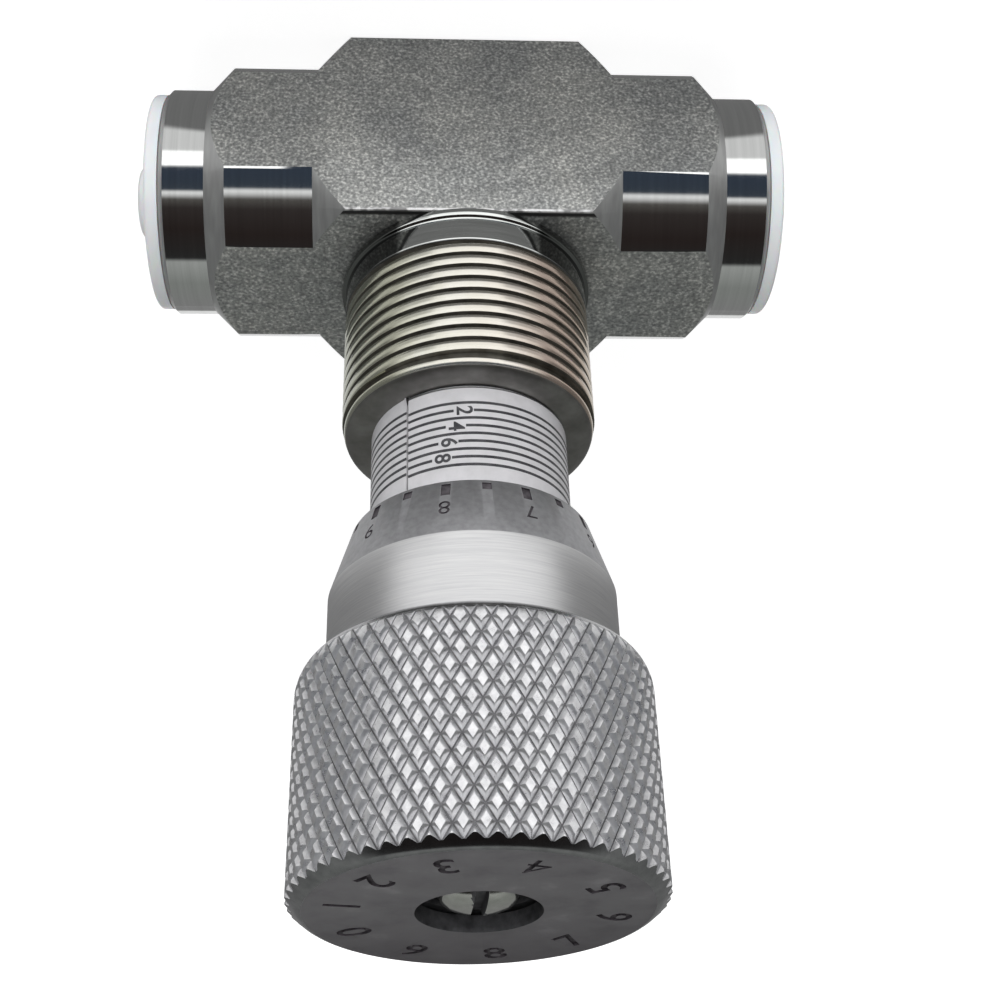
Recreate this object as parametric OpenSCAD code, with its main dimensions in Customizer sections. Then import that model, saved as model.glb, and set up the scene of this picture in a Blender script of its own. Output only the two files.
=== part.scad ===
// Inline hydraulic throttle valve: a square steel body with a port at each end, a screwed
// bonnet that carries the panel thread and the scale sleeve, a rising metering spindle,
// and a knurled setting knob. Millimetres.
// The origin is the centre of the body's base. +Z runs up the spindle, X along the ports.
// The valve is drawn fully open, with a plastic plug in each port.

/* [Body] */
// Side of the square bar that the body is cut from
bar_size = 25; // [24.5:0.25:27]
// Length over the two port ends
body_length = 63; // [61:0.5:68]
// Length of the centre block, which keeps the bar's sharp corners
block_length = 24.4; // [22:0.4:27]
// Diameter that the two arms are turned to
arm_d = 28.5; // [27.5:0.25:30]
// Diameter of the two port ends
end_d = 23.8; // [22.5:0.1:24.4]
// Length of a port end with the cone that leads to it
end_length = 7.1; // [6:0.1:9]
// Chamfer on the outer edge of a port end
end_chamfer = 0.6; // [0.3:0.1:1]

/* [Ports] */
// Bore of the port thread
port_thread_d = 14.95; // [13:0.05:15.6]
// Length of the port thread
port_thread_length = 9.8; // [8:0.1:11]
// How much wider in diameter the port's mouth is than its thread
port_mouth_step = 1.95; // [1.5:0.05:2.6]
// Depth of the port's mouth
port_mouth_depth = 2.2; // [1.6:0.1:3]
// Diameter of the drilling from each port to the throat
passage_d = 5.2; // [4.8:0.1:5.3]
// Depth of the inlet drilling's axis below the port axis
inlet_drop = 4.5; // [4.3:0.1:4.7]
// Height of the outlet drilling's axis above the port axis
outlet_rise = 2.4; // [2.35:0.05:2.5]

/* [Seat] */
// Diameter of the throat that the needle closes
throat_d = 4.8; // [4:0.1:5.4]
// Depth of the seat edge below the port axis
seat_drop = 0.3; // [0.1:0.05:0.9]
// Diameter of the chamber above the seat
chamber_d = 13.6; // [12.8:0.1:14.6]

/* [Bonnet] */
// Outer diameter of the panel thread
panel_thread_d = 25; // [24:0.25:26]
// Length of the panel thread
panel_thread_length = 14.5; // [12:0.5:18]
// Pitch of the panel thread
panel_thread_pitch = 1.5; // [1:0.25:2]
// Depth of the panel thread
panel_thread_depth = 0.8; // [0.5:0.05:0.85]
// Height of the smooth neck below the panel thread
bonnet_neck_h = 2.8; // [2:0.1:4]
// How far the bonnet's seating collar stands out past the thread, all round
collar_step = 0.4; // [0.2:0.05:0.6]
// Height of the seating collar
collar_h = 0.9; // [0.5:0.1:1.5]
// Length of the lead-in chamfer at the thread's end
lead_h = 1.1; // [0.8:0.1:2]
// Depth of that chamfer
lead_depth = 1.3; // [0.8:0.1:1.6]
// Outer diameter of the thread that screws into the body
spigot_d = 18; // [17.5:0.25:19]
// Length of the bonnet inside the body
spigot_length = 7.2; // [6.9:0.05:7.3]
// Outer diameter of the scale sleeve
sleeve_d = 18.8; // [18:0.1:19.6]
// Length of the thread that the spindle runs in
nut_length = 14; // [10:1:18]

/* [Scale label] */
// Thickness of the printed label
label_t = 0.14; // [0.1:0.02:0.2]
// Height of the label
label_h = 14; // [12:0.1:15]
// Gap where the label's two ends meet
label_gap = 0.2; // [0.1:0.05:0.4]
// Angle of that gap from the front, towards +X
label_seam_angle = 39; // [0:1:180]

/* [Spindle] */
// Rise of the spindle for one turn, which is also the spacing of the scale's rings
spindle_pitch = 0.86; // [0.75:0.01:1]
// Turns from closed to fully open
turns = 12; // [10:1:13]
// Diameter of the spindle's thread
spindle_thread_d = 10; // [9.4:0.1:10.6]
// Diameter of the spindle above its thread
shank_d = 8.4; // [8:0.1:8.8]
// Radial clearance of the needle in the throat
needle_clearance = 0.05; // [0.03:0.01:0.08]
// Length of the notched needle below its seat cone
needle_length = 6.5; // [5:0.1:6.6]
// Depth of the metering notches at the needle's tip
notch_depth = 1.5; // [1:0.1:1.8]
// Diameter of the piston that carries the spindle seal
piston_d = 12.3; // [11.8:0.1:12.6]
// Radial clearance of everything that turns or slides
running_clearance = 0.05; // [0.03:0.01:0.08]
// Width across the two flats that drive the knob
drive_flats = 6; // [5.6:0.1:6.4]
// Diameter of the spindle's top end, before its flats are cut
drive_d = 7.2; // [6.8:0.1:7.6]

/* [Seals] */
// Section of the spindle's O-ring
spindle_ring_section = 1.7; // [1.5:0.05:1.8]
// Thickness of the spindle's backup ring
backup_ring_t = 1; // [0.8:0.1:1.4]
// Section of the bonnet's O-ring
bonnet_ring_section = 1.56; // [1.3:0.02:1.7]
// Width of the groove that holds the bonnet's O-ring
bonnet_groove_w = 2.35; // [2:0.05:2.5]

/* [Knob] */
// Diameter of the skirt at its lower edge
skirt_edge_d = 22.6; // [21.6:0.2:24]
// Diameter of the knob's plain band
skirt_d = 26.5; // [25.5:0.1:27.4]
// Height of the graduated cone
skirt_cone_h = 6.46; // [5:0.1:7.5]
// Height of the plain band
skirt_band_h = 7.5; // [6:0.1:10]
// Outer diameter of the knurled grip
grip_d = 31.74; // [30:0.1:34]
// Diameter at which the grip's rounded shoulder starts
grip_start_d = 28.2; // [27.8:0.1:29]
// Height of the grip's rounded shoulder
shoulder_h = 2.8; // [2:0.1:5]
// Height of the grip
grip_h = 21.08; // [18:0.1:26]
// Diameter of the knob's end face
end_face_d = 29.08; // [28:0.1:30]
// Height of the chamfer round the end face
end_face_chamfer_h = 0.4; // [0.2:0.1:1]
// Thickness of the wall between the knob's bore and its screw recess
end_wall_t = 3.4; // [2.8:0.1:4.5]
// Diameter of the screw recess
recess_d = 10.6; // [9.8:0.1:12]
// Depth of the screw recess
recess_depth = 3.74; // [3.3:0.1:4.5]
// Radial gap between the label and the knob's bore
skirt_gap = 0.29; // [0.2:0.01:0.4]
// Height of the skirt's edge above the bonnet when the valve is closed
closing_gap = 1.48; // [1:0.02:1.8]

/* [Knurl] */
// Number of diamonds round the grip
knurl_count = 58; // [50:1:64]
// Number of half-diamond rows along the grip
knurl_rows = 14; // [12:1:16]
// Depth of the knurl
knurl_depth = 0.5; // [0.3:0.05:0.6]

/* [Fasteners] */
// Thread diameter of the knob's screw
screw_d = 4; // [3.5:0.1:4.2]
// Length of the knob's screw under its head
screw_length = 8; // [6:0.5:10]
// Diameter of the knob screw's head
screw_head_d = 7; // [6.4:0.1:7.6]
// Height of the knob screw's head
screw_head_h = 2.4; // [2:0.1:2.5]
// Thickness of the washer under that head
washer_t = 0.8; // [0.5:0.1:0.8]
// Outer diameter of that washer
washer_d = 9; // [8:0.1:9.4]
// Thread diameter of the lock screw
lock_d = 3; // [2.5:0.1:3.5]
// Length of the lock screw
lock_length = 2.5; // [2:0.1:2.6]
// Thickness of the pad between the lock screw and the sleeve
lock_pad_t = 0.7; // [0.5:0.05:0.8]

/* [Port plugs] */
// Thickness of the plug's flange
plug_flange_t = 1.4; // [1:0.1:2]
// How far the flange stays inside the edge of the port end
plug_flange_inset = 0.5; // [0.3:0.1:1.5]
// Diameter of the plug's pull hub
plug_hub_d = 8; // [6:0.2:10]
// Height of the pull hub
plug_hub_h = 1.9; // [1:0.1:3]
// Clearance between the plug and the port's mouth
plug_clearance = 0.1; // [0.05:0.01:0.15]

/* [Hidden] */
$fn = 96;
past = 1; // how far a cutter runs past the face that it cuts
seated = 0.02; // gap between two pieces that rest on each other
stop_gap = 0.2; // gap left where a piece comes to a stop

// Heights in the body, from its base
port_z = bar_size / 2;
inlet_z = port_z - inlet_drop;
outlet_z = port_z + outlet_rise;
seat_z = port_z - seat_drop;
spigot_z = bar_size - spigot_length;

// Lengths along the ports, from the spindle's axis
body_end = body_length / 2;
block_end = block_length / 2;
corner_r = bar_size * sqrt(2) / 2;
arm_r = arm_d / 2;
end_r = end_d / 2;
arm_start = block_end + corner_r - arm_r;
arm_end = body_end - end_length;
end_start = arm_end + arm_r - end_r;
port_r = port_thread_d / 2;
mouth_r = port_r + port_mouth_step / 2;
thread_end = body_end - port_mouth_depth;
thread_start = thread_end - port_thread_length;
drill_point = port_r * tan(31);

// Spindle, at its fully open place
travel = spindle_pitch * turns;
needle_r = throat_d / 2 - needle_clearance;
needle_room = 0.8; // what the throat is longer than the needle
spindle_r = spindle_thread_d / 2;
shank_r = shank_d / 2;
undercut_h = 1; // height of the plain undercut below the thread
piston_r = piston_d / 2;
piston_entry = 0.4; // how far above the bonnet's lower edge the closed piston stays
land_h = 1; // height of the land on each side of the seal groove
groove_play = 0.2; // free height in the seal groove
groove_floor_r = piston_r - spindle_ring_section - running_clearance;
groove_h = spindle_ring_section + backup_ring_t + groove_play;
cone_z = seat_z + running_clearance + travel;
tip_z = cone_z - needle_length;
piston_z = spigot_z + piston_entry + travel;
groove_z = piston_z + land_h;
piston_top = groove_z + groove_h + land_h;
stop_z = piston_top + stop_gap;
nut_end = stop_z + nut_length;
thread_relief = 0.4; // radial step in the bore above the spindle's nut thread
thread_top = nut_end + travel + past;

// Bonnet, from the body's top face
collar_top = bar_size + collar_h;
panel_thread_z = collar_top + bonnet_neck_h;
lead_z = panel_thread_z + panel_thread_length;
bonnet_end = lead_z + lead_h;
thread_turns = floor(panel_thread_length / panel_thread_pitch);
thread_half_w = panel_thread_depth * tan(30); // half the width of a groove at the crest
panel_r = panel_thread_d / 2;
spigot_r = spigot_d / 2;
sleeve_r = sleeve_d / 2;
label_r = sleeve_r + seated + label_t;
bonnet_groove_depth = 0.75; // how far the O-ring's groove cuts into the spigot
bonnet_groove_h = bonnet_ring_section + 2 * seated;
bonnet_groove_r = spigot_r - bonnet_groove_depth;

// Knob, at its fully open place
knob_z = bonnet_end + travel + closing_gap;
band_z = knob_z + skirt_cone_h;
grip_z = band_z + skirt_band_h;
knob_end = grip_z + grip_h;
recess_z = knob_end - recess_depth;
knob_ceiling = recess_z - end_wall_t;
knob_bore_r = label_r + skirt_gap;
closed_room = 1.2; // what is left between the sleeve and the closed knob's ceiling
sleeve_end = knob_ceiling - travel - closed_room;
lip_h = 0.25; // plain lip below the knurl
lip_inset = 1.2; // how far the knurl starts inside the lip's edge
rim_h = 0.3; // height of the plain rim round the end face
rim_inset = 0.3; // how far the knurl ends inside that rim

// Lock screw and its pad, backed off by their travel
lock_z = band_z + skirt_band_h / 2;
lock_travel = 0.33;
pad_y = label_r + lock_travel + 3 * seated;
lock_y = pad_y + lock_pad_t + seated;
hex_points = 6;

// Small edges
edge_chamfer = 0.5;
fine_chamfer = 0.3;

// Points of an arc about [x, y], from angle a to angle b
function arc(x, y, r, a, b, steps = 8) =
    [for (i = [0:steps]) let (t = a + (b - a) * i / steps) [x + r * cos(t), y + r * sin(t)]];

// Stands a profile drawn as [distance from the axis, place along X] up along the X axis
module turned_along_x() {
    rotate([0, 90, 0]) rotate_extrude() children();
}

// One arm's half of the turned outline, from the middle of the block to the port end
function arm_outline() = [
    [0, 0],
    [corner_r + past, 0],
    [corner_r + past, block_end - past],
    [arm_r, arm_start],
    [arm_r, arm_end],
    [end_r, end_start],
    [end_r, body_end - end_chamfer],
    [end_r - end_chamfer, body_end],
    [0, body_end]
];

// One port, cut from the outside in: mouth, thread bore and drill point
function port_outline() = [
    [0, body_end + past],
    [mouth_r, body_end + past],
    [mouth_r, thread_end],
    [port_r, thread_end],
    [port_r, thread_start],
    [0, thread_start - drill_point]
];

module on_port_axis() {
    translate([0, 0, port_z]) children();
}

// Square bar turned down at both arms, which leaves four flats on each
module body_blank() {
    intersection() {
        translate([-body_end - past, -bar_size / 2, 0])
            cube([body_length + 2 * past, bar_size, bar_size]);
        on_port_axis() for (side = [0, 1])
            mirror([side, 0, 0]) turned_along_x() polygon(arm_outline());
    }
}

module valve_body() {
    color([0.66, 0.67, 0.66]) difference() {
        body_blank();
        on_port_axis() for (side = [0, 1])
            mirror([side, 0, 0]) turned_along_x() polygon(port_outline());
        // Inlet drilling under the seat, outlet drilling above it
        translate([-thread_start - past, 0, inlet_z])
            rotate([0, 90, 0]) cylinder(d = passage_d, h = thread_start + past);
        translate([0, 0, outlet_z])
            rotate([0, 90, 0]) cylinder(d = passage_d, h = thread_start + past);
        // Throat, chamber, bonnet thread and the groove for the bonnet's O-ring
        translate([0, 0, seat_z - needle_length - needle_room])
            cylinder(d = throat_d, h = needle_length + past);
        translate([0, 0, seat_z])
            cylinder(d = chamber_d, h = spigot_length + past);
        translate([0, 0, spigot_z - stop_gap])
            cylinder(r = spigot_r + seated, h = spigot_length + stop_gap + past);
        translate([0, 0, bar_size - bonnet_groove_h])
            cylinder(r = bonnet_groove_r + bonnet_groove_w, h = bonnet_groove_h + past);
    }
}

// The panel thread, drawn as one ring for each turn, with 60 degree flanks
function thread_outline() = [for (k = [0:thread_turns - 1])
    let (z = panel_thread_z + (k + 0.5) * panel_thread_pitch)
    each [[panel_r, z - thread_half_w], [panel_r - panel_thread_depth, z],
          [panel_r, z + thread_half_w]]];

module bonnet() {
    color([0.6, 0.6, 0.52]) rotate_extrude() polygon(concat([
        [piston_r + running_clearance, spigot_z],
        [spigot_r - edge_chamfer, spigot_z],
        [spigot_r, spigot_z + edge_chamfer],
        [spigot_r, bar_size - bonnet_groove_h],
        [bonnet_groove_r, bar_size - bonnet_groove_h],
        [bonnet_groove_r, bar_size + seated],
        [panel_r + collar_step, bar_size + seated],
        [panel_r + collar_step, collar_top],
        [panel_r, collar_top]],
        thread_outline(),
        [[panel_r, lead_z],
        [panel_r - lead_depth, bonnet_end],
        [sleeve_r, bonnet_end],
        [sleeve_r, sleeve_end - edge_chamfer],
        [sleeve_r - edge_chamfer, sleeve_end],
        [spindle_r + thread_relief, sleeve_end],
        [spindle_r + thread_relief, nut_end],
        [spindle_r + running_clearance, nut_end - thread_relief],
        [spindle_r + running_clearance, stop_z],
        [piston_r + running_clearance, stop_z]
    ]));
}

module bonnet_o_ring() {
    color([0.08, 0.08, 0.08])
        translate([0, 0, bar_size - bonnet_groove_h / 2])
            rotate_extrude() translate([bonnet_groove_r + bonnet_groove_w / 2, 0])
                circle(d = bonnet_ring_section);
}

module scale_label() {
    color([0.88, 0.87, 0.88]) difference() {
        translate([0, 0, bonnet_end + seated]) cylinder(r = label_r, h = label_h);
        translate([0, 0, bonnet_end - past])
            cylinder(r = sleeve_r + seated, h = label_h + 2 * past);
        rotate([0, 0, label_seam_angle])
            translate([-label_gap / 2, -label_r - past, bonnet_end])
                cube([label_gap, 2 * past, label_h + past]);
    }
}

// One V-shaped metering notch, deepest at the needle's tip
module metering_notch() {
    plain_h = 0.8; // plain needle left between the notch and the seat cone
    v_depth = 3;
    v_half_width = 2;
    notch_length = needle_length - plain_h;
    slope = atan(notch_depth / notch_length);
    translate([needle_r, 0, cone_z - plain_h]) rotate([0, slope, 0])
        translate([0, 0, -notch_length - 2 * past]) linear_extrude(notch_length + 2 * past)
            polygon([[0, 0], [v_depth, -v_half_width], [v_depth, v_half_width]]);
}

// Needle, seat cone, sealed piston, thread, shank and driving end
module spindle() {
    color([0.55, 0.56, 0.58]) difference() {
        union() {
            rotate_extrude() polygon([
                [0, tip_z],
                [needle_r - fine_chamfer, tip_z],
                [needle_r, tip_z + fine_chamfer],
                [needle_r, cone_z],
                [spindle_r, cone_z + spindle_r - needle_r],
                [spindle_r, piston_z],
                [piston_r, piston_z],
                [piston_r, groove_z],
                [groove_floor_r, groove_z],
                [groove_floor_r, groove_z + groove_h],
                [piston_r, groove_z + groove_h],
                [piston_r, piston_top],
                [shank_r, piston_top],
                [shank_r, piston_top + undercut_h],
                [spindle_r, piston_top + undercut_h + spindle_r - shank_r],
                [spindle_r, thread_top - spindle_r + shank_r],
                [shank_r, thread_top],
                [shank_r, knob_ceiling - seated],
                [0, knob_ceiling - seated]
            ]);
            intersection() {
                translate([0, 0, knob_ceiling - past])
                    cylinder(d = drive_d, h = end_wall_t + past - stop_gap);
                translate([-drive_d, -drive_flats / 2, knob_ceiling - past])
                    cube([2 * drive_d, drive_flats, end_wall_t + past]);
            }
        }
        for (turn = [0, 180]) rotate([0, 0, turn]) metering_notch();
        translate([0, 0, recess_z + washer_t - screw_length - past])
            cylinder(r = screw_d / 2 + seated, h = screw_length + past);
    }
}

module spindle_o_ring() {
    color([0.08, 0.08, 0.08])
        translate([0, 0, groove_z + running_clearance + spindle_ring_section / 2])
            rotate_extrude()
                translate([piston_r - running_clearance / 2 - spindle_ring_section / 2, 0])
                    circle(d = spindle_ring_section - running_clearance);
}

module spindle_backup_ring() {
    color([0.92, 0.92, 0.88])
        translate([0, 0, groove_z + groove_h - running_clearance - backup_ring_t]) difference() {
            cylinder(r = piston_r, h = backup_ring_t);
            translate([0, 0, -past])
                cylinder(r = groove_floor_r + running_clearance, h = backup_ring_t + 2 * past);
        }
}

// Diamond knurl: in each ring of points peaks and valleys alternate, and they change places
// from ring to ring, so that every peak is the tip of a four-sided pyramid. The first and
// last rings lie inside the lip and the end face's rim.
module knurled_grip() {
    around = 2 * knurl_count;
    knurl_z = 2 * lip_h; // the first row, above the grip's start
    knurl_h = grip_h - end_face_chamfer_h - knurl_z;
    function envelope(z) = z >= shoulder_h ? grip_d / 2 : grip_start_d / 2
        + (grip_d - grip_start_d) / 2 * sqrt(1 - pow(1 - z / shoulder_h, 2));
    function point(i, r, z) = [r * cos(180 * i / knurl_count), r * sin(180 * i / knurl_count), z];
    function is_peak(i, k) = (i + k) % 2 == 0;
    start = [for (i = [0:around - 1]) point(i, grip_start_d / 2 - lip_inset, lip_h / 2)];
    rows = [for (k = [0:knurl_rows]) let (z = knurl_z + k * knurl_h / knurl_rows)
        for (i = [0:around - 1])
            point(i, envelope(z) - (is_peak(i, k) ? 0 : knurl_depth), z)];
    end = [for (i = [0:around - 1])
        point(i, end_face_d / 2 - rim_inset, grip_h - rim_h / 2)];
    function at(i, k) = k * around + i % around;
    // Each square between four points is split from valley to valley
    walls = [for (k = [0:knurl_rows + 1]) for (i = [0:around - 1])
        each (is_peak(i, k + 1)
            ? [[at(i, k), at(i, k + 1), at(i + 1, k)],
               [at(i + 1, k), at(i, k + 1), at(i + 1, k + 1)]]
            : [[at(i, k), at(i, k + 1), at(i + 1, k + 1)],
               [at(i, k), at(i + 1, k + 1), at(i + 1, k)]])];
    base = [for (i = [0:around - 1]) at(i, 0)];
    lid = [for (i = [around - 1:-1:0]) at(i, knurl_rows + 2)];
    translate([0, 0, grip_z])
        polyhedron(points = concat(start, rows, end), faces = concat(walls, [base, lid]));
}

module knob() {
    color([0.62, 0.62, 0.64]) difference() {
        union() {
            rotate_extrude() polygon([
                [0, knob_z],
                [skirt_edge_d / 2, knob_z],
                [skirt_d / 2, band_z],
                [skirt_d / 2, grip_z],
                [grip_start_d / 2, grip_z],
                [grip_start_d / 2, grip_z + lip_h],
                [0, grip_z + lip_h]
            ]);
            knurled_grip();
            translate([0, 0, knob_end - rim_h]) cylinder(d = end_face_d, h = rim_h);
        }
        translate([0, 0, knob_z - past])
            cylinder(r = knob_bore_r, h = knob_ceiling - knob_z + past);
        translate([0, 0, recess_z]) cylinder(d = recess_d, h = recess_depth + past);
        // Hole with two flats, which the spindle drives
        intersection() {
            translate([0, 0, knob_ceiling - past])
                cylinder(r = drive_d / 2 + seated, h = end_wall_t + 2 * past);
            translate([-drive_d, -drive_flats / 2 - seated, knob_ceiling - past])
                cube([2 * drive_d, drive_flats + 2 * seated, end_wall_t + 2 * past]);
        }
        translate([0, knob_bore_r - past, lock_z]) rotate([-90, 0, 0])
            cylinder(r = lock_d / 2 + running_clearance, h = skirt_d / 2 - knob_bore_r + 2 * past);
    }
}

module knob_washer() {
    color([0.5, 0.5, 0.5]) translate([0, 0, recess_z + seated]) difference() {
        cylinder(d = washer_d, h = washer_t - seated);
        translate([0, 0, -past])
            cylinder(r = screw_d / 2 + 3 * running_clearance, h = washer_t + 2 * past);
    }
}

module knob_screw() {
    seat = recess_z + washer_t + seated;
    slot_w = 1.1;
    edge = 0.7;
    tip = seat - screw_length + past;
    color([0.75, 0.75, 0.72]) difference() {
        rotate_extrude() polygon(concat(
            [[0, tip], [screw_d / 2 - fine_chamfer, tip], [screw_d / 2, tip + fine_chamfer],
             [screw_d / 2, seat], [screw_head_d / 2, seat]],
            arc(screw_head_d / 2 - edge, seat + screw_head_h - edge, edge, 0, 90),
            [[0, seat + screw_head_h]]));
        translate([-slot_w / 2, -screw_head_d, seat + screw_head_h - slot_w])
            cube([slot_w, 2 * screw_head_d, 2 * slot_w]);
    }
}

// Soft pad that the lock screw presses on the scale sleeve
module lock_pad() {
    color([0.72, 0.6, 0.3]) translate([0, pad_y, lock_z]) rotate([-90, 0, 0])
        cylinder(r = lock_d / 2 - fine_chamfer, h = lock_pad_t);
}

// Socket set screw in the back of the knob's plain band
module lock_screw() {
    socket = lock_d / 2;
    color([0.15, 0.15, 0.16]) translate([0, lock_y, lock_z]) rotate([-90, 0, 0]) difference() {
        cylinder(d = lock_d, h = lock_length);
        translate([0, 0, lock_length - socket])
            cylinder(d = socket / cos(180 / hex_points), h = lock_d, $fn = hex_points);
    }
}

// Push-in plug: a short spigot in the port's mouth, a flange and a rounded pull hub
module port_plug() {
    flange_r = end_r - plug_flange_inset;
    flange_top = body_end + seated + plug_flange_t;
    flange_edge = 0.4;
    hub_edge = 0.9 * min(1, plug_hub_h);
    on_port_axis() turned_along_x() polygon(concat(
        [[0, thread_end + stop_gap],
         [mouth_r - plug_clearance, thread_end + stop_gap],
         [mouth_r - plug_clearance, body_end + seated],
         [flange_r, body_end + seated]],
        arc(flange_r - flange_edge, flange_top - flange_edge, flange_edge, 0, 90, 4),
        [[plug_hub_d / 2, flange_top]],
        arc(plug_hub_d / 2 - hub_edge, flange_top + plug_hub_h - hub_edge, hub_edge, 0, 90),
        [[0, flange_top + plug_hub_h]]));
}

module port_plug_left() {
    color([0.93, 0.93, 0.94]) mirror([1, 0, 0]) port_plug();
}

module port_plug_right() {
    color([0.93, 0.93, 0.94]) port_plug();
}

valve_body();
bonnet();
bonnet_o_ring();
scale_label();
spindle();
spindle_o_ring();
spindle_backup_ring();
knob();
knob_washer();
knob_screw();
lock_pad();
lock_screw();
port_plug_left();
port_plug_right();
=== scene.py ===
import math

import bpy
from mathutils import Matrix, Vector


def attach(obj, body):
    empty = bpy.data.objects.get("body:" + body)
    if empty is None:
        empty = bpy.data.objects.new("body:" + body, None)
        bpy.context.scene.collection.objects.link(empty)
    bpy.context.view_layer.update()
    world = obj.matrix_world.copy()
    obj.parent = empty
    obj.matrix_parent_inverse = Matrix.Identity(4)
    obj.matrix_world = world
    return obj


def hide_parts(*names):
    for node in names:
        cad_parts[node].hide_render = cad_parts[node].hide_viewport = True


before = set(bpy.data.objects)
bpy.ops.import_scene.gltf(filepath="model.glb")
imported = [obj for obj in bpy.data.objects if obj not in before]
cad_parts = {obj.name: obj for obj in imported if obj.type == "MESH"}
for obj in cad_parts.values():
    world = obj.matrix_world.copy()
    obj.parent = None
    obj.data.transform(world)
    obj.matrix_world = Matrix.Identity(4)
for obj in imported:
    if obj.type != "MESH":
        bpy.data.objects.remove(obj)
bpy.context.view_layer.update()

MM = 0.001

# Sizes that the dressed pieces share with the solids, in mm: R is a radius, Z a height over the body's base
PORT_Z = 12.5
BAR_SIZE = 25
BODY_END = 31.5
BLOCK_R, BLOCK_END = 18.68, 11.2
ARM_R, ARM_START, ARM_END = 14.25, 15.63, 24.4
END_R, END_START, END_CHAMFER = 11.9, 26.75, 0.6
MOUTH_R, PORT_R, THREAD_START, THREAD_END = 8.45, 7.475, 19.5, 29.3
PORT_PITCH, PORT_GROOVE_R, DRILL_POINT = 1.337, 8.2, 4.49
PASSAGE_R, PASSAGE_REACH, INLET_Z, OUTLET_Z = 2.6, 20.5, 8, 14.9
THROAT_R, THROAT_Z, SEAT_Z, CHAMBER_R = 2.4, 4.9, 12.2, 6.8
SPIGOT_HOLE_R, SPIGOT_HOLE_Z, RING_SEAT_R, RING_SEAT_Z = 9.02, 17.6, 10.6, 23.4
PANEL_R, PANEL_PITCH, PANEL_THREAD_Z, RIDGE_Z, RIDGE_END = 12.5, 1.5, 28.7, 27.85, 42.5
THREAD_ROOT_R, BONNET_END, LEAD_R = 11.95, 44.3, 11.2
SLEEVE_R, SLEEVE_END = 9.4, 72.48
LABEL_BACK_R, LABEL_R, LABEL_Z, LABEL_TOP = 9.42, 9.56, 44.32, 58.32
KNOB_Z, BAND_Z, GRIP_Z, KNOB_END = 56.1, 62.56, 70.06, 91.14
SKIRT_EDGE_R, SKIRT_R, GRIP_START_R, GRIP_R, END_FACE_R = 11.3, 13.25, 14.1, 15.87, 14.54
SHOULDER_H, KNOB_BORE_R, RECESS_R, RECESS_Z, CEILING_Z = 2.8, 9.85, 5.3, 87.4, 84.0
LOCK_Z, LOCK_HOLE_R = 66.31, 1.55

# The knurl: diamonds round the grip, rows of them along it, and how deep it is cut, in mm
DIAMONDS, ROWS = 58, 14
KNURL_DEPTH, KNURL_Z, KNURL_END = 0.42, 70.56, 90.74
KNURL_CORE_R = 12.6

# The label's seam, as an angle from the front towards +X, and the rings printed on the label
SEAM_ANGLE, SEAM_HALF_GAP = 39, 0.7
LABEL_START, LABEL_SWEEP = -90 + SEAM_ANGLE + SEAM_HALF_GAP, 360 - 2 * SEAM_HALF_GAP
RINGS, RING_Z, RING_SPACING, RING_GAP = 9, 46.34, 0.864, 5.6
LABEL_CLIMB = 0.38


# Working on pieces

def put_down():
    if bpy.context.object and bpy.context.object.mode != "OBJECT":
        bpy.ops.object.mode_set(mode="OBJECT")
    bpy.ops.object.select_all(action="DESELECT")


def pick_up(*pieces):
    put_down()
    for piece in pieces:
        piece.select_set(True)
    bpy.context.view_layer.objects.active = pieces[0]


def turned(name, outline, along="Z", steps=144, sweep=360, start=0, height=0):
    """Turns an outline of (radius, place on the axis) into a closed piece; height lifts an axis along X."""
    put_down()
    bpy.ops.mesh.primitive_plane_add(size=0.001)
    piece = bpy.context.object
    piece.name = piece.data.name = name
    spots = [Vector((r, 0, z)) if along == "Z" else Vector((z, 0, height + r)) for r, z in outline]
    bpy.ops.object.mode_set(mode="EDIT")
    bpy.ops.mesh.merge(type="CENTER")
    bpy.ops.transform.translate(value=spots[0] * MM)
    for before, after in zip(spots, spots[1:]):
        bpy.ops.mesh.extrude_region_move(TRANSFORM_OT_translate={"value": (after - before) * MM})
    bpy.ops.mesh.select_all(action="SELECT")
    axis = (0, 0, 1) if along == "Z" else (1, 0, 0)
    centre = (0, 0, height * MM)
    if sweep < 360:
        bpy.ops.mesh.remove_doubles(threshold=1e-7)
        bpy.ops.mesh.edge_face_add()
    bpy.ops.mesh.spin(steps=steps, angle=-math.radians(sweep), center=centre, axis=axis)
    bpy.ops.mesh.select_all(action="SELECT")
    bpy.ops.mesh.remove_doubles(threshold=1e-7)
    bpy.ops.mesh.normals_make_consistent(inside=False)
    bpy.ops.object.mode_set(mode="OBJECT")
    if start:
        piece.rotation_euler = (0, 0, math.radians(start))
        bpy.ops.object.transform_apply(location=False, rotation=True, scale=False)
    return piece


def settle(piece):
    pick_up(piece)
    bpy.ops.object.transform_apply(location=True, rotation=True, scale=True)
    return piece


def join(name, *pieces):
    pick_up(*pieces)
    bpy.ops.object.join()
    piece = bpy.context.object
    piece.name = piece.data.name = name
    return piece


def apply_last(piece):
    pick_up(piece)
    bpy.ops.object.modifier_apply(modifier=piece.modifiers[-1].name)


def cut(piece, tool, how="DIFFERENCE"):
    pick_up(piece)
    bpy.ops.object.modifier_add(type="BOOLEAN")
    step = piece.modifiers[-1]
    step.operation, step.object, step.solver = how, tool, "EXACT"
    apply_last(piece)
    bpy.data.objects.remove(tool)


def ease_edges(piece, width, segments=2, angle=32):
    pick_up(piece)
    bpy.ops.object.modifier_add(type="BEVEL")
    step = piece.modifiers[-1]
    step.width, step.segments = width * MM, segments
    step.limit_method, step.angle_limit = "ANGLE", math.radians(angle)
    step.harden_normals = False
    apply_last(piece)


def smooth(piece, angle=28):
    pick_up(piece)
    bpy.ops.object.shade_smooth_by_angle(angle=math.radians(angle))


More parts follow.
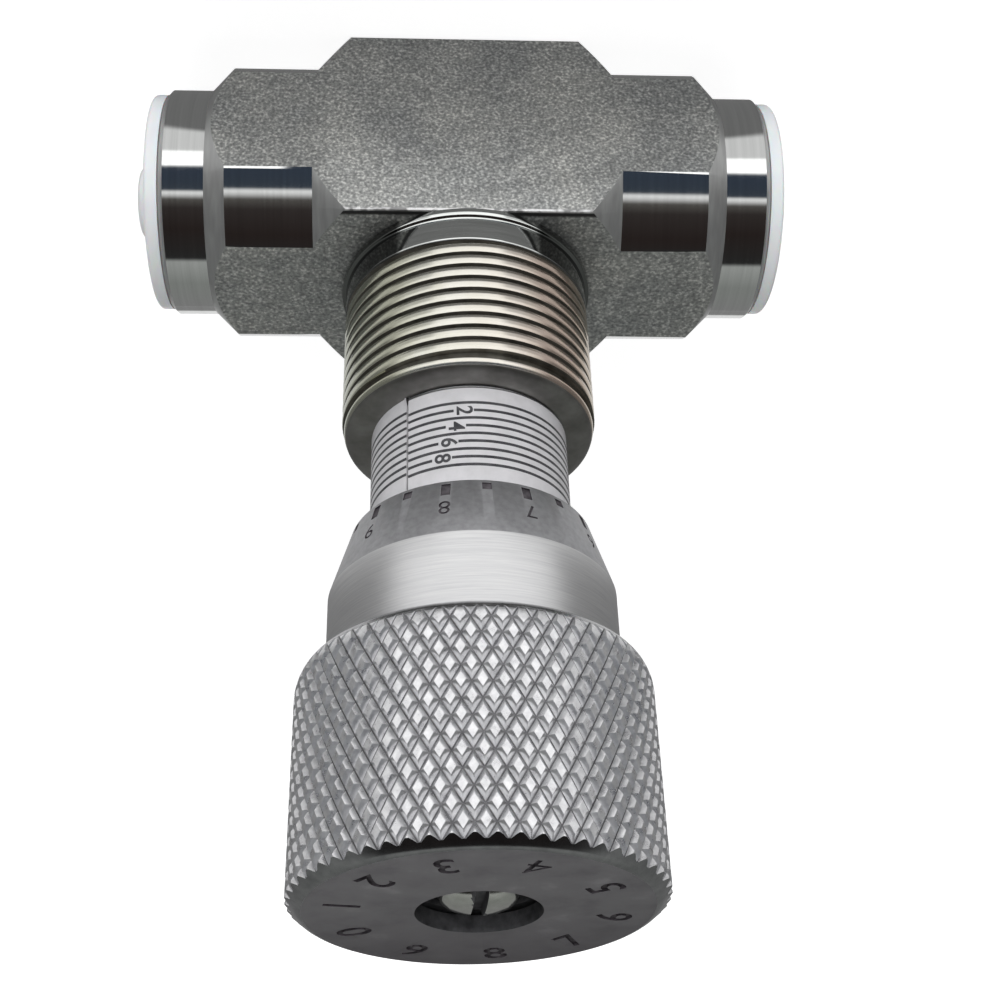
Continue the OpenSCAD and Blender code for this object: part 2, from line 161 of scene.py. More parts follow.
def coat(piece, *finishes):
    piece.data.materials.clear()
    for finish in finishes:
        piece.data.materials.append(finish)


def finish_piece(piece, body, slot, *nodes):
    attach(piece, body)
    if nodes:
        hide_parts(*nodes)


# Finishes

def fill_socket(board, socket, value):
    if isinstance(value, (float, int)):
        socket.default_value = value
    elif isinstance(value, tuple):
        socket.default_value = (*value, 1)
    elif value is not None:
        board.link(value, socket)


class Board:
    """A node tree whose nodes are set and joined one by one."""

    def __init__(self, tree):
        self.tree = tree

    def node(self, kind, **settings):
        made = self.tree.nodes.new(kind)
        for key, value in settings.items():
            setattr(made, key, value)
        return made

    def link(self, source, target):
        self.tree.links.new(source, target)

    def axes(self, place):
        split = self.node("ShaderNodeSeparateXYZ")
        self.link(place, split.inputs["Vector"])
        return split.outputs

    def step(self, how, one, two=None):
        made = self.node("ShaderNodeMath", operation=how)
        fill_socket(self, made.inputs[0], one)
        fill_socket(self, made.inputs[1], two)
        return made.outputs["Value"]

    def eased(self, source, low, high, at_low=0.0, at_high=1.0):
        """Passes softly from one level to another as the source goes from low to high."""
        made = self.node("ShaderNodeMapRange", interpolation_type="SMOOTHSTEP")
        for socket, value in (("From Min", low), ("From Max", high), ("To Min", at_low), ("To Max", at_high)):
            made.inputs[socket].default_value = value
        self.link(source, made.inputs["Value"])
        return made.outputs["Result"]

    def blend(self, fac, one, other, how="MIX"):
        mix = self.node("ShaderNodeMix", data_type="RGBA", blend_type=how)
        for socket, value in ((0, fac), (6, one), (7, other)):
            fill_socket(self, mix.inputs[socket], value)
        return mix.outputs[2]

    def multiply(self, one, other):
        return self.blend(1.0, one, other, "MULTIPLY")

    def choose(self, fac, one, other):
        mix = self.node("ShaderNodeMixShader")
        for socket, source in zip(mix.inputs, (fac, one, other)):
            self.link(source, socket)
        return mix.outputs["Shader"]

    def ramp(self, source, stops):
        ramp = self.node("ShaderNodeValToRGB")
        marks = ramp.color_ramp.elements
        while len(marks) < len(stops):
            marks.new(0.5)
        for mark, (spot, colour) in zip(marks, stops):
            mark.position, mark.color = spot, (*colour, 1)
        self.link(source, ramp.inputs["Fac"])
        return ramp.outputs["Color"]


class Finish(Board):
    """A material on one shader, with patterns that follow the valve's own axes."""

    def __init__(self, name, colour, metallic, roughness, **sockets):
        self.material = bpy.data.materials.new(name)
        self.material.use_nodes = True
        super().__init__(self.material.node_tree)
        self.shader = self.tree.nodes["Principled BSDF"]
        self.set("Base Color", (*colour, 1))
        self.set("Metallic", metallic)
        self.set("Roughness", roughness)
        for socket, value in sockets.items():
            self.set(socket.replace("_", " "), value)
        self.place = self.node("ShaderNodeTexCoord").outputs["Object"]

    def set(self, socket, value):
        self.shader.inputs[socket].default_value = value

    def stretched(self, scale):
        mapping = self.node("ShaderNodeMapping")
        mapping.inputs["Scale"].default_value = scale
        self.link(self.place, mapping.inputs["Vector"])
        return mapping.outputs["Vector"]

    def along(self, axis, start, end):
        """0 to 1 between two places on an axis, in mm."""
        spread = self.node("ShaderNodeMapRange")
        spread.inputs["From Min"].default_value, spread.inputs["From Max"].default_value = start * MM, end * MM
        self.link(self.axes(self.place)[axis], spread.inputs["Value"])
        return spread.outputs["Result"]

    def grain(self, scale, detail=3, rough=0.6, place=None):
        noise = self.node("ShaderNodeTexNoise")
        noise.inputs["Scale"].default_value = scale
        noise.inputs["Detail"].default_value = detail
        noise.inputs["Roughness"].default_value = rough
        self.link(place or self.place, noise.inputs["Vector"])
        return noise.outputs["Fac"]

    def colour(self, source):
        self.link(source, self.shader.inputs["Base Color"])

    def gloss(self, source, low, high):
        spread = self.node("ShaderNodeMapRange")
        spread.inputs["To Min"].default_value = low
        spread.inputs["To Max"].default_value = high
        self.link(source, spread.inputs["Value"])
        self.link(spread.outputs["Result"], self.shader.inputs["Roughness"])

    def bump(self, source, strength, depth):
        bump = self.node("ShaderNodeBump")
        bump.inputs["Strength"].default_value = strength
        bump.inputs["Distance"].default_value = depth * MM
        self.link(source, bump.inputs["Height"])
        self.link(bump.outputs["Normal"], self.shader.inputs["Normal"])


def grey(level):
    return (level, level, level)


def rough_zinc():
    f = Finish("zinc_plate_rough", (0.6, 0.61, 0.6), 0.75, 0.4)
    grains = f.grain(3300, 2, 0.5)
    speckle = f.ramp(grains, [(0.32, (0.3, 0.305, 0.3)), (0.48, (0.46, 0.465, 0.455)),
                              (0.58, (0.6, 0.605, 0.59)), (0.68, (0.9, 0.9, 0.87))])
    clouds = f.ramp(f.grain(130, 3), [(0.32, (0.72, 0.73, 0.74)), (0.68, (1, 0.995, 0.98))])
    plate = f.multiply(speckle, clouds)
    # Painted shadow: a dark band along the bonnet's face, behind the lip of its front edge
    top = f.ramp(f.along("Z", 24.8, 24.95), [(0.5, grey(0)), (1.0, grey(1))])
    band = f.ramp(f.along("Y", -12.5, -11.5), [(0.1, grey(0)), (0.25, grey(1)), (0.62, grey(1)), (0.9, grey(0))])
    plate = f.blend(f.multiply(top, band), plate, grey(0.05))
    # Painted highlight: near the front edge of the bonnet's face the zinc turns bright speckled grey, standing in
    # for the glint off its lip
    lip = f.ramp(f.along("Z", 24.5, 25), [(0.3, grey(0)), (0.55, grey(1))])
    brow = f.ramp(f.along("Y", -12.5, -12.2), [(0.4, grey(1)), (0.9, grey(0))])
    bright = f.ramp(f.grain(700, 2), [(0.42, grey(0.35)), (0.55, grey(0.95))])
    f.colour(f.blend(f.multiply(lip, brow), plate, bright))
    f.gloss(f.grain(1500, 2), 0.3, 0.5)
    f.bump(grains, 0.45, 0.08)
    return f.material


def worn_lip():
    # Painted highlight: a bright, less metallic speckled grey standing in for the glint off the bevel along the top
    # front edge
    f = Finish("zinc_worn_lip", (0.95, 0.95, 0.93), 0.2, 0.5)
    f.colour(f.ramp(f.grain(900, 3), [(0.38, (0.4, 0.4, 0.39)), (0.5, (0.9, 0.9, 0.88)), (0.7, (1, 1, 0.98))]))
    return f.material


def polished_zinc():
    f = Finish("zinc_plate_polished", (0.86, 0.87, 0.86), 1, 0.07)
    lines = f.grain(60, 3, 0.6, f.stretched((40, 1, 1)))
    f.colour(f.ramp(lines, [(0.3, (0.8, 0.81, 0.8)), (0.7, (0.9, 0.91, 0.9))]))
    f.gloss(lines, 0.05, 0.1)
    return f.material


def turned_zinc():
    f = Finish("zinc_plate_turned", (0.5, 0.51, 0.5), 0.85, 0.36)
    lines = f.grain(220, 2, 0.6, f.stretched((6, 1, 1)))
    f.colour(f.ramp(lines, [(0.3, grey(0.44)), (0.7, (0.58, 0.59, 0.58))]))
    f.gloss(lines, 0.3, 0.42)
    return f.material


def bored_steel():
    f = Finish("bored_steel", (0.42, 0.42, 0.41), 0.9, 0.4)
    marks = f.grain(500, 2)
    f.colour(f.ramp(marks, [(0.3, grey(0.34)), (0.7, grey(0.5))]))
    return f.material


def passivated_thread():
    f = Finish("passivated_thread", (0.62, 0.6, 0.5), 0.95, 0.3)
    # Along X the colour is partly the passivation's own yellow-brown tone and partly a painted reflection: light
    # cream in the middle, darker olive and brown towards both sides
    tone_and_sheen = f.ramp(f.along("X", PANEL_R, -PANEL_R), [
        (0.0, (0.42, 0.43, 0.36)), (0.2, (0.5, 0.5, 0.4)), (0.42, (0.72, 0.7, 0.62)),
        (0.6, (0.74, 0.7, 0.62)), (0.78, (0.52, 0.42, 0.36)), (0.9, (0.5, 0.4, 0.33)), (1.0, (0.58, 0.5, 0.4))])
    patches = f.grain(260, 3)
    f.colour(f.blend(0.3, tone_and_sheen, f.ramp(patches, [(0.3, grey(0.45)), (0.7, grey(0.85))]), "OVERLAY"))
    f.gloss(patches, 0.14, 0.24)
    return f.material


def thread_root():
    # Painted shade: the thread's groove floors are near black
    f = Finish("thread_root", (0.13, 0.125, 0.105), 0.7, 0.4)
    f.colour(f.ramp(f.grain(500, 3), [(0.3, (0.09, 0.085, 0.07)), (0.7, (0.19, 0.18, 0.155))]))
    return f.material


def bonnet_end():
    # Painted shade: the bonnet's end annulus is dark grey
    f = Finish("bonnet_end", (0.24, 0.235, 0.22), 0.85, 0.32)
    f.colour(f.ramp(f.grain(300, 3), [(0.3, (0.17, 0.165, 0.155)), (0.7, (0.3, 0.295, 0.28))]))
    return f.material


def neck_steel():
    f = Finish("passivated_neck", (0.6, 0.62, 0.6), 1, 0.08)
    lines = f.grain(150, 2, 0.5, f.stretched((1, 1, 14)))
    steel = f.ramp(lines, [(0.3, (0.72, 0.74, 0.72)), (0.7, (0.88, 0.9, 0.88))])
    # Painted reflection: the colour runs darker towards both sides of the neck
    sides = f.ramp(f.along("X", -PANEL_R, PANEL_R), [
        (0.21, grey(0.22)), (0.235, grey(1)), (0.765, grey(1)), (0.79, grey(0.22))])
    f.colour(f.multiply(steel, sides))
    return f.material


def label_film():
    f = Finish("label_film", (0.62, 0.615, 0.63), 0, 0.5, Specular_IOR_Level=0.3)
    fibre = f.grain(700, 3)
    f.colour(f.ramp(fibre, [(0.3, (0.58, 0.575, 0.59)), (0.7, (0.66, 0.65, 0.67))]))
    f.bump(fibre, 0.1, 0.02)
    return f.material


def printed_ink():
    f = Finish("printed_ink", (0.03, 0.03, 0.035), 0, 0.5)
    f.colour(f.ramp(f.grain(900, 2), [(0.3, (0.02, 0.02, 0.025)), (0.7, (0.06, 0.06, 0.065))]))
    return f.material


def stamped_ink():
    f = Finish("stamped_mark", (0.05, 0.045, 0.05), 0.1, 0.6)
    f.colour(f.ramp(f.grain(1200, 2), [(0.35, (0.035, 0.03, 0.035)), (0.7, (0.11, 0.1, 0.11))]))
    return f.material


def satin_aluminium():
    f = Finish("satin_aluminium", (0.46, 0.46, 0.48), 0.85, 0.42)
    grains = f.grain(1500, 3)
    f.colour(f.ramp(grains, [(0.3, (0.32, 0.32, 0.33)), (0.7, (0.42, 0.42, 0.435))]))
    f.bump(grains, 0.15, 0.03)
    return f.material


def brushed_band():
    f = Finish("brushed_band", (0.62, 0.62, 0.63), 0.9, 0.34)
    lines = f.grain(200, 3, 0.65, f.stretched((1, 1, 40)))
    f.colour(f.ramp(lines, [(0.3, (0.57, 0.57, 0.58)), (0.7, (0.7, 0.7, 0.7))]))
    f.gloss(lines, 0.3, 0.4)
    f.bump(f.grain(1500, 2), 0.12, 0.02)
    return f.material


def knurled_aluminium():
    f = Finish("knurled_aluminium", (0.62, 0.62, 0.65), 0.9, 0.3)
    grains = f.grain(1300, 3)
    f.colour(f.ramp(grains, [(0.3, (0.58, 0.58, 0.595)), (0.7, (0.86, 0.86, 0.87))]))
    f.gloss(grains, 0.22, 0.36)
    f.bump(grains, 0.2, 0.03)
    return f.material


def faced_aluminium():
    f = Finish("faced_aluminium", (0.3, 0.29, 0.31), 0.6, 0.42)
    grains = f.grain(240, 4, 0.6)
    worn = f.ramp(grains, [(0.3, (0.21, 0.2, 0.215)), (0.5, (0.28, 0.27, 0.285)),
                           (0.62, (0.3, 0.29, 0.305)), (0.72, (0.38, 0.365, 0.385))])
    # Painted shade: the end face runs darker towards +Y
    painted_shade_to_back = f.ramp(f.along("Y", -13, 14), [(0.0, grey(1)), (0.45, grey(0.9)), (1.0, (0.5, 0.47, 0.5))])
    f.colour(f.multiply(worn, painted_shade_to_back))
    f.bump(f.grain(1500, 2), 0.15, 0.03)
    return f.material


def knurl_groove():
    # Painted shade: a near-black metal for the knurl's groove floors, the knob's recess and bore, and the screw's
    # slot
    f = Finish("knurl_groove", (0.13, 0.13, 0.135), 0.7, 0.45)
    f.colour(f.ramp(f.grain(900, 3), [(0.3, (0.08, 0.08, 0.085)), (0.7, (0.2, 0.2, 0.21))]))
    return f.material


def rounded_edge():
    # Painted shade: a darker metal for the knob's rounded end edge and the underside of its shoulder
    f = Finish("rounded_edge", (0.42, 0.42, 0.43), 1, 0.2)
    f.colour(f.ramp(f.grain(700, 3), [(0.3, (0.32, 0.32, 0.33)), (0.7, (0.48, 0.48, 0.49))]))
    return f.material


def bright_screw():
    f = Finish("bright_screw", (0.8, 0.8, 0.76), 1, 0.14)
    marks = f.grain(900, 2)
    f.colour(f.ramp(marks, [(0.3, (0.7, 0.7, 0.66)), (0.7, (0.86, 0.86, 0.82))]))
    f.gloss(marks, 0.1, 0.22)
    return f.material


def black_oxide():
    f = Finish("black_oxide", (0.05, 0.05, 0.055), 0.6, 0.42)
    f.colour(f.ramp(f.grain(900, 2), [(0.3, grey(0.035)), (0.7, grey(0.08))]))
    return f.material


def turned_brass():
    f = Finish("turned_brass", (0.72, 0.58, 0.3), 1, 0.3)
    f.colour(f.ramp(f.grain(500, 2), [(0.3, (0.66, 0.52, 0.26)), (0.7, (0.78, 0.64, 0.34))]))
    return f.material


def seal_rubber():
    f = Finish("seal_rubber", (0.03, 0.03, 0.03), 0, 0.6)
    f.colour(f.ramp(f.grain(900, 2), [(0.3, grey(0.02)), (0.7, grey(0.05))]))
    return f.material


def seal_plastic():
    f = Finish("seal_plastic", (0.9, 0.9, 0.86), 0, 0.4)
    f.colour(f.ramp(f.grain(500, 2), [(0.3, (0.86, 0.86, 0.82)), (0.7, (0.93, 0.93, 0.9))]))
    return f.material


def plug_plastic():
    f = Finish("plug_plastic", (0.9, 0.9, 0.92), 0, 0.3, Subsurface_Weight=0.25, Subsurface_Scale=0.002)
    cloud = f.grain(180, 2)
    f.colour(f.ramp(cloud, [(0.3, (0.87, 0.87, 0.9)), (0.7, (0.94, 0.94, 0.95))]))
    f.gloss(cloud, 0.24, 0.36)
    return f.material


def ground_steel():
    f = Finish("ground_steel", (0.58, 0.58, 0.58), 1, 0.24)
    lines = f.grain(200, 2, 0.5, f.stretched((1, 1, 12)))
    f.colour(f.ramp(lines, [(0.3, grey(0.5)), (0.7, grey(0.66))]))
    f.gloss(lines, 0.18, 0.3)
    return f.material


# Body

def half_outline(side):
    """One half of the turned shape that the square bar is cut to, from the port's end to the block."""
    return [(0, side * BODY_END), (END_R - END_CHAMFER, side * BODY_END),
            (END_R, side * (BODY_END - END_CHAMFER)), (END_R, side * END_START),
            (ARM_R, side * ARM_END), (ARM_R, side * ARM_START), (BLOCK_R, side * BLOCK_END)]


def port_tool(side):
    """Mouth, thread and drill point of one port, as one turned cutter."""
    outside = BODY_END + 1.5
    outline = [(0, side * outside), (MOUTH_R, side * outside), (MOUTH_R, side * THREAD_END),
               (PORT_R, side * (THREAD_END - 0.4))]
    for groove in range(6):
        x = THREAD_END - 0.7 - groove * PORT_PITCH
        outline += [(PORT_R, side * x), (PORT_GROOVE_R, side * (x - 0.42)),
                    (PORT_GROOVE_R, side * (x - 0.52)), (PORT_R, side * (x - 0.94))]
    outline += [(PORT_R, side * THREAD_START), (0, side * (THREAD_START - DRILL_POINT))]
    return turned("port_cutter", outline, "X", 96, height=PORT_Z)


def make_body():
    body = turned("valve_body_plated", half_outline(-1) + half_outline(1)[::-1], "X", 192, height=PORT_Z)
    put_down()
    bpy.ops.mesh.primitive_cube_add(size=BAR_SIZE * MM, location=(0, 0, PORT_Z * MM), scale=(2.8, 1, 1))
    bar = settle(bpy.context.object)
    cut(body, bar, "INTERSECT")
    for side in (-1, 1):
        cut(body, port_tool(side))
    for reach, z in ((-PASSAGE_REACH, INLET_Z), (PASSAGE_REACH, OUTLET_Z)):
        drilling = [(0, reach), (PASSAGE_R, reach), (PASSAGE_R, 0), (0, 0)]
        cut(body, turned("passage_cutter", drilling, "X", 48, height=z))
    above = BAR_SIZE + 1
    cut(body, turned("seat_cutter", [
        (0, THROAT_Z), (THROAT_R, THROAT_Z), (THROAT_R, SEAT_Z), (CHAMBER_R, SEAT_Z),
        (CHAMBER_R, SPIGOT_HOLE_Z), (SPIGOT_HOLE_R, SPIGOT_HOLE_Z), (SPIGOT_HOLE_R, RING_SEAT_Z),
        (RING_SEAT_R, RING_SEAT_Z), (RING_SEAT_R, above), (0, above)], steps=96))
    ease_edges(body, 0.14)
    smooth(body)
    coat(body, rough_zinc(), polished_zinc(), turned_zinc(), bored_steel(), worn_lip())
    rough, polished, as_turned, bored, lip = range(5)
    for face in body.data.polygons:
        c, n = face.center / MM, face.normal
        x, off_axis = abs(c.x), math.hypot(c.y, c.z - PORT_Z)
        on_bar_side = abs(n.y) > 0.99 and abs(c.y) > BAR_SIZE / 2 - 0.1
        on_bar_top = abs(n.z) > 0.99 and not 0.1 <= c.z <= BAR_SIZE - 0.1
        on_arm = off_axis > ARM_R - 0.1 and ARM_START < x < ARM_END
        on_end = off_axis > END_R - 0.1 and END_START < x < BODY_END - END_CHAMFER
        if on_bar_side or on_bar_top:
            face.material_index = rough
        elif on_arm or on_end:
            face.material_index = polished
        elif off_axis < MOUTH_R + 0.05:
            face.material_index = bored
        # The bevel along the top front edge takes the painted highlight
        elif c.y < 0.2 - BAR_SIZE / 2 and c.z > BAR_SIZE - 0.2:
            face.material_index = lip
        else:
            face.material_index = as_turned
    finish_piece(body, "root", "zinc_plated_steel", "valve_body")


# Bonnet

def thread_ridge():
    """One right-hand ridge of the panel thread, wound up and trimmed flat at both ends."""
    outline = [(11.3, 0.04), (11.92, 0.04), (12.37, 0.2), (12.47, 0.36), (12.49, 0.66),
               (12.49, 1.02), (12.4, 1.28), (11.92, 1.46), (11.3, 1.46)]
    put_down()
    bpy.ops.mesh.primitive_circle_add(vertices=len(outline), radius=MM)
    ridge = bpy.context.object
    ridge.name = "thread_ridge"
    for vertex, (r, z) in zip(ridge.data.vertices, outline):
        vertex.co = (r * MM, 0, (z + RIDGE_Z) * MM)
    bpy.ops.object.modifier_add(type="SCREW")
    step = ridge.modifiers[-1]
    step.axis, step.angle, step.screw_offset = "Z", math.radians(360), PANEL_PITCH * MM
    step.iterations, step.steps, step.render_steps = 12, 96, 96
    step.use_merge_vertices = False
    apply_last(ridge)
    bpy.ops.object.mode_set(mode="EDIT")
    bpy.ops.mesh.select_all(action="SELECT")
    bpy.ops.mesh.remove_doubles(threshold=1e-7)
    bpy.ops.mesh.fill_holes(sides=0)
    bpy.ops.mesh.select_all(action="SELECT")
    bpy.ops.mesh.normals_make_consistent(inside=False)
    bpy.ops.object.mode_set(mode="OBJECT")
    outside = PANEL_R + 0.2
    envelope = turned("thread_envelope", [
        (0, PANEL_THREAD_Z), (outside, PANEL_THREAD_Z), (outside, RIDGE_END), (0, RIDGE_END)])
    cut(ridge, envelope, "INTERSECT")
    return ridge


def make_bonnet():
    spigot = [(6.2, 17.8), (8.5, 17.8), (9, 18.3), (9, RING_SEAT_Z), (8.25, RING_SEAT_Z), (8.25, 25.02)]
    # The neck's two middle points keep its shading straight
    collar_and_neck = [(12.9, 25.02), (12.9, 25.9), (PANEL_R, 25.9), (PANEL_R, 26.15), (PANEL_R, 28.55),
                       (PANEL_R, 28.75)]
    root_and_end = [(THREAD_ROOT_R, 28.95), (THREAD_ROOT_R, 43.0), (12.3, 43.15), (12.27, 43.45), (12.12, 43.86),
                    (11.9, 44.05), (LEAD_R, BONNET_END)]
    sleeve = [(SLEEVE_R, BONNET_END), (SLEEVE_R, SLEEVE_END - 0.5), (8.9, SLEEVE_END), (5.4, SLEEVE_END)]
    bore = [(5.4, 47.32), (5.05, 46.92), (5.05, 33.42), (6.2, 33.42), (6.2, 17.8)]
    core = turned("bonnet_core", spigot + collar_and_neck + root_and_end + sleeve + bore)
    ease_edges(core, 0.12)
    bonnet = join("bonnet_threaded", core, thread_ridge())
    smooth(bonnet, 35)
    coat(bonnet, passivated_thread(), neck_steel(), ground_steel(), thread_root(), bonnet_end())
    thread, neck, ground, root, end = range(5)
    for face in bonnet.data.polygons:
        c = face.center / MM
        r = math.hypot(c.x, c.y)
        # The end annulus takes the painted shade
        if r > SLEEVE_R + 0.1 and c.z > BONNET_END - 0.35:
            face.material_index = end
        # The thread's groove floors take the painted shade
        elif PANEL_THREAD_Z + 0.1 < c.z < 43 and SLEEVE_R + 0.1 < r < PANEL_R - 0.25:
            face.material_index = root
        elif r > PANEL_R - 0.1 and c.z < PANEL_THREAD_Z + 0.1:
            face.material_index = neck
        elif r < SLEEVE_R + 0.1 or c.z < 25:
            face.material_index = ground
        else:
            face.material_index = thread
    finish_piece(bonnet, "root", "passivated_steel", "bonnet")


# Scale label and its print

def digit(text, size, thickness, weight=0):
    put_down()
    bpy.ops.object.text_add()
    letter = bpy.context.object
    letter.name = f"digit_{text}"
    letter.data.body = text
    letter.data.size = size * MM
    letter.data.align_x, letter.data.align_y = "CENTER", "CENTER"
    letter.data.extrude = thickness * MM / 2
    letter.data.offset = weight * MM
    letter.data.resolution_u = 4
    bpy.ops.object.convert(target="MESH")
    return bpy.context.object


def face_out(piece, angle, radius, z, roll=0, lean=0):
    """Turns a flat piece to face outwards at an angle from the front towards -X, upright along Z."""
    a = math.radians(angle)
    out = Vector((-math.sin(a), -math.cos(a), 0))
    side = Vector((math.cos(a), -math.sin(a), 0))
    basis = Matrix((side, Vector((0, 0, 1)), side.cross(Vector((0, 0, 1))))).transposed().to_4x4()
    lean_turn = Matrix.Rotation(math.radians(lean), 4, "X")
    roll_turn = Matrix.Rotation(math.radians(roll), 4, "Z")
    piece.matrix_world = Matrix.Translation((out * radius + Vector((0, 0, z))) * MM) @ basis @ lean_turn @ roll_turn
    return settle(piece)


def climb(piece, lift=0):
    """Winds a piece of the label slightly askew, so that its ends don't quite meet."""
    for vertex in piece.data.vertices:
        turn = (math.degrees(math.atan2(vertex.co.y, vertex.co.x)) - LABEL_START + 0.3) % 360 - 0.3
        if turn < 0.5 and vertex.co.z < (LABEL_Z + 0.2) * MM:
            # The corner has come unstuck
            vertex.co.x, vertex.co.y = vertex.co.x * 1.026, vertex.co.y * 1.026
        vertex.co.z += (LABEL_CLIMB * turn / 360 + lift) * MM


def make_label():
    low = LABEL_Z + 0.9
    film = turned("scale_label_film", [
        (LABEL_BACK_R, LABEL_Z), (LABEL_R, LABEL_Z), (LABEL_R, low), (LABEL_R, LABEL_TOP),
        (LABEL_BACK_R, LABEL_TOP), (LABEL_BACK_R, low), (LABEL_BACK_R, LABEL_Z)],
                  steps=180, sweep=LABEL_SWEEP, start=LABEL_START)
    climb(film)
    smooth(film, 30)
    coat(film, label_film())
    finish_piece(film, "root", "printed_film", "scale_label")


def print_scale():
    """Rings round the label, with a gap at each even one for its number."""
    # Front is -Y, and a number's angle is measured from it towards -X
    numbers = {2: (-4.96, 47.25), 4: (-9.5, 49.0), 6: (-13.8, 50.7), 8: (-17.5, 52.4)}
    marks = []
    for ring in range(1, RINGS + 1):
        z = RING_Z + RING_SPACING * (ring - 1)
        back, front, half = 9.5, LABEL_R + 0.012, 0.15
        outline = [(back, z - half), (front, z - half), (front, z + half), (back, z + half), (back, z - half)]
        if ring not in numbers:
            marks.append(turned("scale_ring", outline, steps=150, sweep=LABEL_SWEEP, start=LABEL_START))
            continue
        middle = -90 - numbers[ring][0]
        before, after, seam = middle - RING_GAP, middle + RING_GAP, LABEL_START - 2 * SEAM_HALF_GAP
        marks.append(turned("scale_ring", outline, steps=130, sweep=before + 360 - LABEL_START, start=LABEL_START))
        if after < seam:
            marks.append(turned("scale_ring", outline, steps=14, sweep=seam - after, start=after))
    for mark in marks:
        climb(mark, -0.33)
    for number, (angle, z) in numbers.items():
        figure = digit(str(number), 2.1, 0.1, 0.03)
        marks.append(face_out(figure, angle, LABEL_R - 0.01, z, roll=90))
    ink = join("scale_print", *marks)
    smooth(ink, 30)
    coat(ink, printed_ink())
    finish_piece(ink, "root", "printed_film")


# Knob

def knurl_diamond(width, length):
    """One flat diamond of the knurl: a narrow groove floor round a raised, flat-topped pyramid."""
    put_down()
    bpy.ops.mesh.primitive_plane_add(size=MM, rotation=(0, 0, math.radians(45)))
    diamond = settle(bpy.context.object)
    diamond.name = "knurl_diamond"
    diamond.scale = (width / math.sqrt(2), length / math.sqrt(2), 1)
    settle(diamond)
    bpy.ops.object.mode_set(mode="EDIT")
    bpy.ops.mesh.select_all(action="SELECT")
    for width_in, rise in ((0.06, 0), (0.16, 0.24), (0.11, 0.13), (0.06, 0.05)):
        bpy.ops.mesh.inset(thickness=width_in * MM, depth=rise * MM)
    bpy.ops.object.mode_set(mode="OBJECT")
    return diamond


def repeat(piece, count, offset):
    pick_up(piece)
    bpy.ops.object.modifier_add(type="ARRAY")
    step = piece.modifiers[-1]
    step.count, step.use_relative_offset, step.use_constant_offset = count, False, True
    step.constant_offset_displace = Vector(offset) * MM
    apply_last(piece)


def make_knurl():
    """Rows of diamonds laid out flat, then rolled round the grip and trimmed to its shoulder and rounded end."""
    width = 2 * math.pi * GRIP_R / DIAMONDS
    pitch = (KNURL_END - KNURL_Z) / ROWS
    sheet = knurl_diamond(width, 2 * pitch)
    repeat(sheet, DIAMONDS, (width, 0, 0))
    repeat(sheet, 2, (width / 2, pitch, 0))
    repeat(sheet, ROWS // 2 + 2, (0, 2 * pitch, 0))
    sheet.name = sheet.data.name = "knurl"
    for vertex in sheet.data.vertices:
        x, y, h = vertex.co / MM
        z = KNURL_Z - 2 * pitch + y
        r = GRIP_R - KNURL_DEPTH + h
        a = x / GRIP_R
        vertex.co = Vector((r * math.cos(a), r * math.sin(a), z)) * MM
    pick_up(sheet)
    bpy.ops.object.mode_set(mode="EDIT")
    bpy.ops.mesh.select_all(action="SELECT")
    bpy.ops.mesh.remove_doubles(threshold=2e-6)
    for z, keep_below in ((GRIP_Z - 0.2, False), (KNOB_END + 0.3, True)):
        bpy.ops.mesh.select_all(action="SELECT")
        bpy.ops.mesh.bisect(plane_co=(0, 0, z * MM), plane_no=(0, 0, 1), use_fill=True,
                            clear_outer=keep_below, clear_inner=not keep_below, threshold=1e-7)
    bpy.ops.mesh.select_all(action="SELECT")
    bpy.ops.mesh.normals_make_consistent(inside=False)
    bpy.ops.object.mode_set(mode="OBJECT")
    outside, inside = GRIP_R + 0.01, 12
    shoulder = []
    for spot in range(11):
        a = math.radians(9 * spot)
        r = GRIP_START_R + (outside - GRIP_START_R) * math.sin(a)
        shoulder.append((r, GRIP_Z + SHOULDER_H * (1 - math.cos(a))))
    rounded_end = [(outside, KNOB_END - 0.9), (15.45, KNOB_END - 0.55), (15.1, KNOB_END - 0.26),
                   (14.85, KNOB_END - 0.1), (END_FACE_R, KNOB_END)]
    face_plate = [(RECESS_R, KNOB_END), (RECESS_R, KNOB_END - 1.5), (inside, KNOB_END - 1.5), (inside, GRIP_Z)]
    envelope = turned("knurl_envelope", [(inside, GRIP_Z)] + shoulder + rounded_end + face_plate, steps=232)
    cut(envelope, face_numbers())
    cut(sheet, envelope, "INTERSECT")
    return sheet


def skirt_surface(z):
    return SKIRT_EDGE_R + (SKIRT_R - SKIRT_EDGE_R) * (z - KNOB_Z) / (BAND_Z - KNOB_Z)


